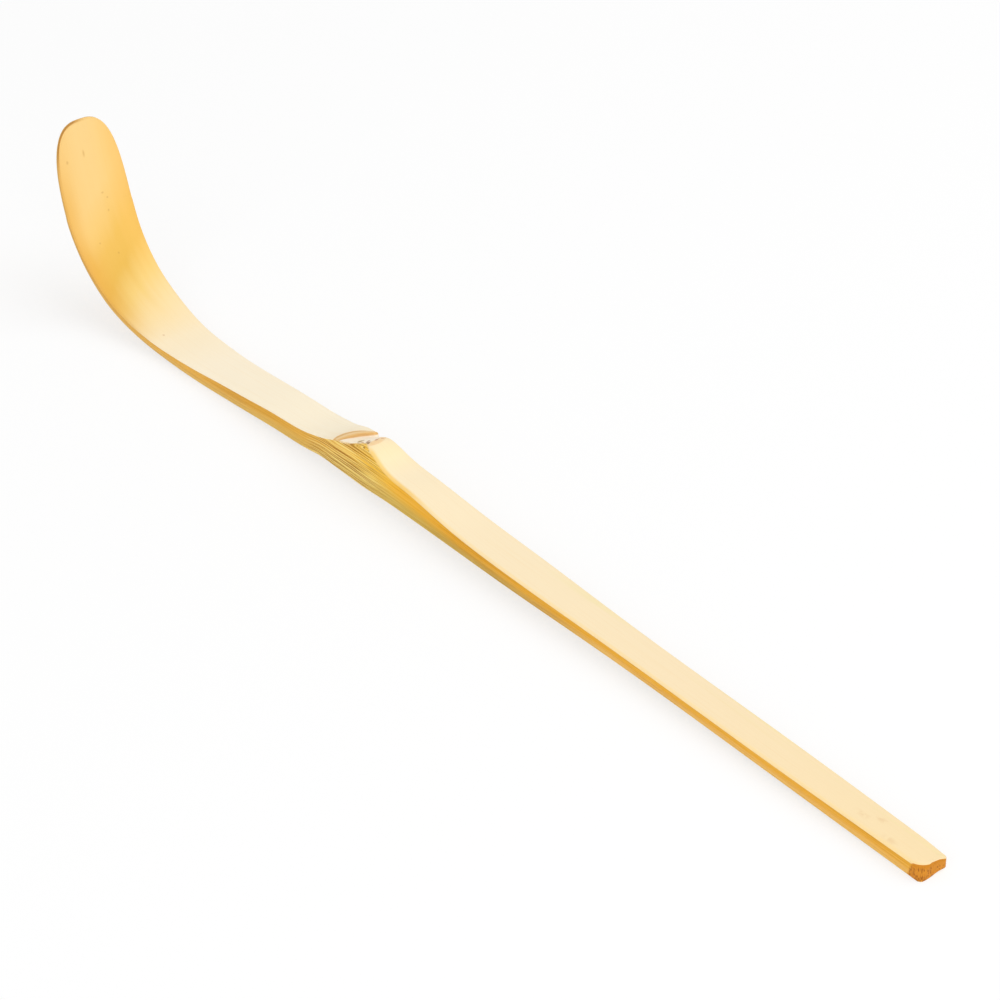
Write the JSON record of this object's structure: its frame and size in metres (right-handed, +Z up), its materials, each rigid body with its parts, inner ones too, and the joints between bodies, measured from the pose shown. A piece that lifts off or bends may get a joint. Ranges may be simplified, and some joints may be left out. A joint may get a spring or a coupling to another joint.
{
  "type": "bamboo tea scoop",
  "caption": "Long narrow scoop carved from one strip of bamboo, with an upturned rounded blade and a node ridge near the middle, for lifting powdered tea.",
  "frame": {"origin": "centre of the object's box in plan, on the surface that the scoop rests on", "axes": "+X along the strip from the blade towards the square end of the handle, +Y across the strip, +Z up, with the scoop lying on its back as it rests and the blade turned up"},
  "size_m": [0.169, 0.0102, 0.0252],
  "materials": {
    "bamboo": "scraped bamboo, satin skin face and open fibre on the sides"
  },
  "bodies": {
    "root": {"bamboo_scoop": "bamboo"}
  },
  "joints": []
}
